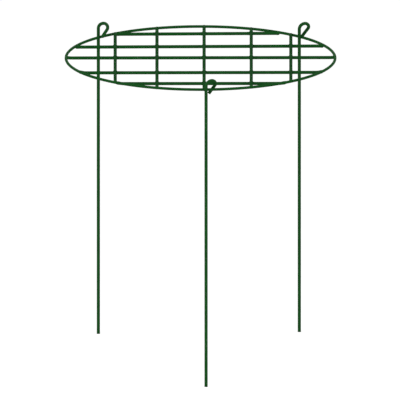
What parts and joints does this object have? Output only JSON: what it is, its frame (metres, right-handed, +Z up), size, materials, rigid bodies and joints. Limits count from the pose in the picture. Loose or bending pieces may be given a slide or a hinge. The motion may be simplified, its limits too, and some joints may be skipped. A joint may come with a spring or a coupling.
{
  "type": "grid plant support",
  "caption": "Round welded wire grid held level on slim wire legs that hook over its rim, for plants to grow up through.",
  "frame": {"origin": "on the ground, under the middle of the grid", "axes": "+Z up; -Y towards the front leg; +X along the left-right wires, the way the hooks open"},
  "size_m": [0.45, 0.4573, 0.5304],
  "materials": {
    "green_coating": "dark green plastic coating over steel wire, low sheen"
  },
  "bodies": {
    "grid": {"rim": "green_coating", "long_wire_1": "green_coating", "long_wire_2": "green_coating", "long_wire_3": "green_coating", "long_wire_4": "green_coating", "long_wire_5": "green_coating", "cross_wire_1": "green_coating", "cross_wire_2": "green_coating", "cross_wire_3": "green_coating", "cross_wire_4": "green_coating", "cross_wire_5": "green_coating"},
    "front_leg": {"leg_front": "green_coating"},
    "back_left_leg": {"leg_back_left": "green_coating"},
    "back_right_leg": {"leg_back_right": "green_coating"}
  },
  "joints": [
    {"name": "front_leg_fold", "type": "hinge", "parent": "grid", "child": "front_leg", "pos_m": [0.00894, -0.22247, 0.504], "axis": [0.9992, 0.0401, 0], "range_deg": [-40, 85]},
    {"name": "back_left_leg_fold", "type": "hinge", "parent": "grid", "child": "back_left_leg", "pos_m": [-0.16502, 0.14947, 0.504], "axis": [-0.6713, -0.7412, 0], "range_deg": [-40, 82]},
    {"name": "back_right_leg_fold", "type": "hinge", "parent": "grid", "child": "back_right_leg", "pos_m": [0.16753, 0.14666, 0.504], "axis": [-0.6587, 0.7524, 0], "range_deg": [-45, 60]}
  ]
}
